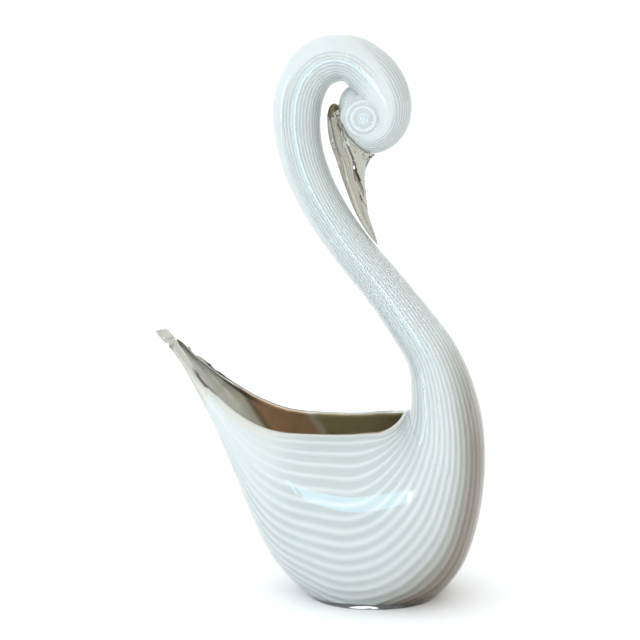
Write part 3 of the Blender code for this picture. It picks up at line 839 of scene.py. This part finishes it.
def smokyGlass():
    material, tree, shader = newMaterial("smoky_lining")
    spot, x, z = objectSpot(tree)
    along = maths(tree, "ADD", x, maths(tree, "MULTIPLY", z, lining["slant"]))
    swirl = maths(tree, "SUBTRACT", noise(tree, lining["wanderScale"], 3.0, spot), 0.5)
    along = maths(tree, "ADD", along, maths(tree, "MULTIPLY", swirl, lining["wander"]))
    # bands along the lining, partly its own browns and olives and partly painted light and a painted
    # reflection
    base = ramp(tree, along, -lining["reach"], lining["reach"], lining["bandsAndLight"])
    streak = rangeOf(tree, noise(tree, lining["streakScale"], 5.0, spot), *lining["streakRange"])
    base = mixColours(tree, streak, base, lining["streak"])
    # painted shade, by the edge attribute: the darkened line under the far rim and the greyer outer face by
    # the tail
    base = mixColours(tree, attribute(tree, "edge"), base, lining["paintedShade"])
    tree.links.new(base, shader.inputs["Base Color"])
    shader.inputs["Roughness"].default_value = lining["roughness"]
    return material


def buildLining(material):
    # edge: how much painted shade each point gets
    skin = Skin(("edge",))
    inUs = spread(lining["columns"])
    stations = mouthStations(mouthFrom + lining["startAfter"], lining["rings"])
    last = len(stations) - 1
    faces = []
    for depth in (lining["outerDepth"], lining["innerDepth"]):
        rings = []
        for i, s in enumerate(stations):
            rimShadeEnd, rimShadeLong = lining["rimShadeEnd"]
            # painted shade under the far rim
            shade = climb(np.abs(inUs), lining["rimShadeFrom"]) * climb(s, lining["rimShadeStart"])
            shade = shade * ease((rimShadeEnd - s) / rimShadeLong)
            # painted shade on the outer face where the lining starts by the tail
            if depth == lining["outerDepth"]:
                shade = np.maximum(shade, lining["outsideShade"] * (1.0 - climb(s, lining["outsideShadeEnd"])))
            values = [(one,) for one in shade]
            bury = lining["startBury"] * (1.0 - ease((s - stations[0]) / lining["buryEnd"]))
            points = insideRing(insideStation(s), inUs, s, depth - bury)
            rings.append(skin.ring(points, i == last, values))
        closeInside(skin, rings, inUs, lining["blindRings"], depth)
        faces.append(rings)
    lips(skin, faces[0], faces[1], stations, lining["lipSteps"], lining["lipLift"], (), False)
    skin.strip(faces[0][0], faces[1][0])
    return finishMesh(skin.mesh, "smoky_lining", material)


beakRows = [  # front x, front z, back x, back z, half width, from the root on the head to the tip
    (-22.5, 264.5, -17.5, 262.5, 3.4), (-24.3, 258.6, -12.0, 257.5, 6.4),
    (-24.4, 250.8, -5.3, 250.0, 8.0), (-22.8, 242.1, -1.7, 240.8, 8.2),
    (-19.9, 234.3, -1.9, 235.4, 7.2), (-17.3, 226.0, -4.5, 228.3, 6.0),
    (-14.2, 217.7, -4.5, 220.5, 5.0), (-11.1, 209.9, -3.7, 212.7, 4.2),
    (-7.1, 202.1, -2.6, 204.9, 3.4), (-3.2, 196.2, -0.3, 198.3, 2.5),
    (2.3, 189.7, 2.3, 189.7, 0.0)]
beak = {
    "rings": 140, "columns": 144, "endRound": 4.0, "fitGap": 0.46,
    "mouthLine": [(0.0, 0.30), (0.3, 0.33), (0.5, 0.45), (0.7, 0.56), (0.9, 0.72), (1.0, 0.8)],
    "mouthDepth": 0.45, "mouthWidth": 0.06, "ridgeDepth": 0.22, "ridgeAt": 0.15,
    "ridgeWidth": 0.05, "creaseEase": 0.25,
    # the roll of glass at the root: angles round the curl, thickness, and how far out and to the side
    "collarFrom": -146.0, "collarTo": -78.0, "collarRadius": 2.9, "collarOut": 1.3, "collarSide": 5.2,
    "collarBumps": 3.5, "bumpShare": 0.28, "collarRings": 80, "collarColumns": 32,
    "cutterRings": 100, "cutterColumns": 96, "colour": (0.39, 0.378, 0.325, 1.0),
}
beakTrack = Track(beakRows)


def beakRing(s, vs):
    row = beakTrack.row(s)
    low, up, reach = sliceFrame(row)
    roundEnd = math.sqrt(1.0 - (1.0 - min(s / beak["endRound"], 1.0)) ** 2)
    # a crease where the bill closes and a shallow one beside the front edge
    share = 0.5 * (1.0 - np.cos(vs))
    along = s / beakTrack.length
    crease = np.exp(-((share - between(beak["mouthLine"], along)) / beak["mouthWidth"]) ** 2)
    ridge = np.exp(-((share - beak["ridgeAt"]) / beak["ridgeWidth"]) ** 2)
    creased = beak["mouthDepth"] * crease + beak["ridgeDepth"] * ridge
    slim = 1.0 - creased * ease(along / beak["creaseEase"])
    half = max(row[4], 0.0) * roundEnd * slim
    points = low + up * 0.5 * reach + np.outer(-0.5 * reach * roundEnd * np.cos(vs), up)
    points[:, 1] += half * np.sin(vs)
    return points


def headCutter(material):
    # the head grown by the fit gap, to hollow the root of the beak
    skin = Skin()
    vs = np.linspace(0.0, 2.0 * math.pi, beak["cutterColumns"] + 1)
    rings = []
    for s in np.linspace(swan.at[len(bodyRows)], swan.length, beak["cutterRings"]):
        row = swan.row(s)
        low, up, reach = sliceFrame(row)
        points = low + up * 0.5 * reach - np.outer((0.5 * reach + beak["fitGap"]) * np.cos(vs), up)
        points[:, 1] += (max(row[4], 0.0) + beak["fitGap"]) * np.sin(vs)
        rings.append(skin.ring(points, True))
    skin.strips(rings)
    skin.mesh.faces.new(rings[0][:-1])
    skin.mesh.faces.new(rings[-1][:-1])
    return finishMesh(skin.mesh, "beak_cutter", material)


def collar(side, material):
    # the lumpy roll of glass where the beak was pressed on to the head
    skin = Skin()
    count, columns = beak["collarRings"], beak["collarColumns"]
    vs = np.linspace(0.0, 2.0 * math.pi, columns + 1)
    headAngles = [row[0] for row in headRows][::-1]
    headRadii = [row[1] for row in headRows][::-1]
    rings = []
    for i in range(count + 1):
        share = i / count
        angle = beak["collarFrom"] + (beak["collarTo"] - beak["collarFrom"]) * share
        turn = math.radians(angle)
        bump = 1.0 - beak["bumpShare"] * (1.0 - math.cos(2.0 * math.pi * beak["collarBumps"] * share))
        thick = beak["collarRadius"] * bump * math.sqrt(max(1.0 - (2.0 * share - 1.0) ** 2, 0.0))
        reach = float(np.interp(angle, headAngles, headRadii)) + beak["collarOut"] + thick * np.cos(vs)
        points = np.stack([headEye[0] + reach * math.cos(turn),
                           side * beak["collarSide"] + thick * np.sin(vs),
                           headEye[1] + reach * math.sin(turn)], axis=1)
        rings.append(skin.pole(points[0], columns) if i in (0, count) else skin.ring(points, True))
    skin.strips(rings)
    return finishMesh(skin.mesh, "collar", material)


def buildBeak(material):
    skin = Skin()
    columns = beak["columns"]
    vs = np.linspace(0.0, 2.0 * math.pi, columns + 1)
    rings = [skin.pole(beakRing(0.0, vs)[0], columns)]
    for i in range(1, beak["rings"]):
        s = beakTrack.length * 0.5 * (1.0 - math.cos(math.pi * i / beak["rings"]))
        rings.append(skin.ring(beakRing(s, vs), True))
    rings.append(skin.pole(beakRing(beakTrack.length, vs)[0], columns))
    skin.strips(rings)
    thing = finishMesh(skin.mesh, "beak_glass", material)
    for side in (-1, 1):
        combine(thing, collar(side, material), "UNION")
    combine(thing, headCutter(material), "DIFFERENCE")
    return thing


clear = clearGlass("clear_glass_skin", clearSkin["colour"])
white = whiteGlass()
smoky = smokyGlass()
beakClear = clearGlass("clear_glass_beak", beak["colour"])
print("materials ready")

skinPiece = buildSkin(clear)
declare(skinPiece, "swan_body")
corePiece = buildCore(white)
declare(corePiece, "swan_body")
liningPiece = buildLining(smoky)
declare(liningPiece, "swan_body")

shrink = eyeDisc["whiteInset"]
eyePiece = eyeLens("white_eye", white, eyeDisc["radius"] - shrink, eyeDisc["halfWidth"] - shrink,
                   eyeDisc["raised"])
whiteWedge = dict(eyeWedge, radii=[radius - shrink for radius in eyeWedge["radii"]])
combine(eyePiece, egg("white_wedge", white, whiteWedge), "UNION")
declare(eyePiece, "swan_body")

tailPiece = egg("tail_tint", smoky, tailTint)
combine(tailPiece, egg("tip_union", smoky, tipTint), "UNION")
declare(tailPiece, "swan_body")

beakPiece = buildBeak(beakClear)
declare(beakPiece, "beak")
beakLump = egg("beak_tint", smoky, beakTint)
declare(beakLump, "beak")


# the studio: pale all round, cooler and brighter on the window side, warm and dimmer on the other

studio = {
    "floorSize": 60.0, "floor": (0.92, 0.92, 0.92, 1.0), "floorRoughness": 0.9, "strength": 1.42,
    "far": (0.97, 0.99, 1.0, 1.0),
    "sides": [  # direction, where it begins, where it is full, colour
        ("X", 0.15, 0.9, (0.52, 0.48, 0.42, 1.0)), ("X", -0.3, -0.9, (0.92, 1.04, 1.10, 1.0)),
        ("Y", -0.1, -0.9, (1.34, 1.37, 1.38, 1.0)), ("Z", 0.35, 1.0, (0.92, 0.94, 0.95, 1.0)),
        ("Z", 0.035, 0.02, (0.96, 0.97, 0.97, 1.0))],
}
windowBlue = (0.34, 0.72, 1.0)
lamps = [  # name, azimuth, elevation, distance, width, height, brightness, colour
    ("window_pane", -9.0, 0.6, 1.15, 0.20, 0.23, 5.5, windowBlue),
    ("window_side", -16.0, 3.0, 1.15, 0.035, 0.22, 5.5, windowBlue),
    ("window_slat_0", -4.0, 0.3, 1.12, 0.009, 0.21, 22.0, (0.75, 0.92, 1.0)),
    ("window_slat_1", -2.9, 0.3, 1.12, 0.009, 0.21, 22.0, (0.75, 0.92, 1.0)),
    ("window_slat_2", -1.8, 0.3, 1.12, 0.009, 0.21, 22.0, (0.75, 0.92, 1.0)),
    ("window_neck", -3.0, 28.0, 1.3, 0.045, 0.24, 5.0, (0.70, 0.88, 1.0)),
    ("window_tall", -70.0, 10.0, 1.3, 0.06, 0.60, 14.0, (0.86, 0.95, 1.0)),
]
lampAim = Vector((0.0, 0.0, 0.13))
sight = {
    "azimuth": 8.0, "elevation": 11.4, "distance": 1.0, "target": (-0.010, 0.0, 0.150),
    "focal": 1900.0, "shift": -35.0, "frameWide": 640.0,  # in pixels of the photo
    "sensor": 36.0, "clipStart": 0.05,
}


def awayFrom(azimuth, elevation):
    # azimuth 0 is the camera's side, positive to the right
    a, e = math.radians(azimuth), math.radians(elevation)
    return Vector((math.sin(a) * math.cos(e), -math.cos(a) * math.cos(e), math.sin(e)))


def layFloor():
    paper, tree, shader = newMaterial("pale_floor")
    shader.inputs["Base Color"].default_value = studio["floor"]
    shader.inputs["Roughness"].default_value = studio["floorRoughness"]
    data = bpy.data.meshes.new("floor")
    h = studio["floorSize"] * 0.5
    data.from_pydata([(-h, -h, 0), (h, -h, 0), (h, h, 0), (-h, h, 0)], [], [(0, 1, 2, 3)])
    data.materials.append(paper)
    thing = bpy.data.objects.new("floor", data)
    scene.collection.objects.link(thing)


def paintRoom():
    world = bpy.data.worlds.new("studio")
    scene.world = world
    world.use_nodes = True
    sky = world.node_tree
    toward = sky.nodes.new("ShaderNodeTexCoord").outputs["Generated"]
    sides = sky.nodes.new("ShaderNodeSeparateXYZ")
    sky.links.new(toward, sides.inputs[0])
    room = studio["far"]
    for axis, begins, full, colour in studio["sides"]:
        room = mixColours(sky, rangeOf(sky, sides.outputs[axis], begins, full), room, colour)
    sky.links.new(room, sky.nodes["Background"].inputs[0])
    sky.nodes["Background"].inputs[1].default_value = studio["strength"]


def softbox(name, azimuth, elevation, distance, wide, high, brightness, colour):
    # a rectangular light that looks at the swan
    data = bpy.data.lights.new(name, "AREA")
    data.shape = "RECTANGLE"
    data.size = wide
    data.size_y = high
    data.energy = brightness * math.pi * wide * high
    data.color = colour
    lamp = bpy.data.objects.new(name, data)
    away = awayFrom(azimuth, elevation)
    lamp.location = lampAim + away * distance
    lamp.rotation_euler = away.to_track_quat("Z", "Y").to_euler()
    lamp.visible_camera = False
    scene.collection.objects.link(lamp)


def setCamera():
    camera = bpy.data.objects.new("camera", bpy.data.cameras.new("camera"))
    scene.collection.objects.link(camera)
    back = awayFrom(sight["azimuth"], sight["elevation"])
    camera.location = Vector(sight["target"]) + back * sight["distance"]
    camera.rotation_euler = back.to_track_quat("Z", "Y").to_euler()
    camera.data.sensor_width = sight["sensor"]
    camera.data.lens = sight["focal"] / sight["frameWide"] * sight["sensor"]
    camera.data.shift_x = sight["shift"] / sight["frameWide"]
    camera.data.clip_start = sight["clipStart"]
    scene.camera = camera


layFloor()
paintRoom()
for lamp in lamps:
    softbox(*lamp)
setCamera()
scene.view_settings.view_transform = "Standard"
print("studio ready")
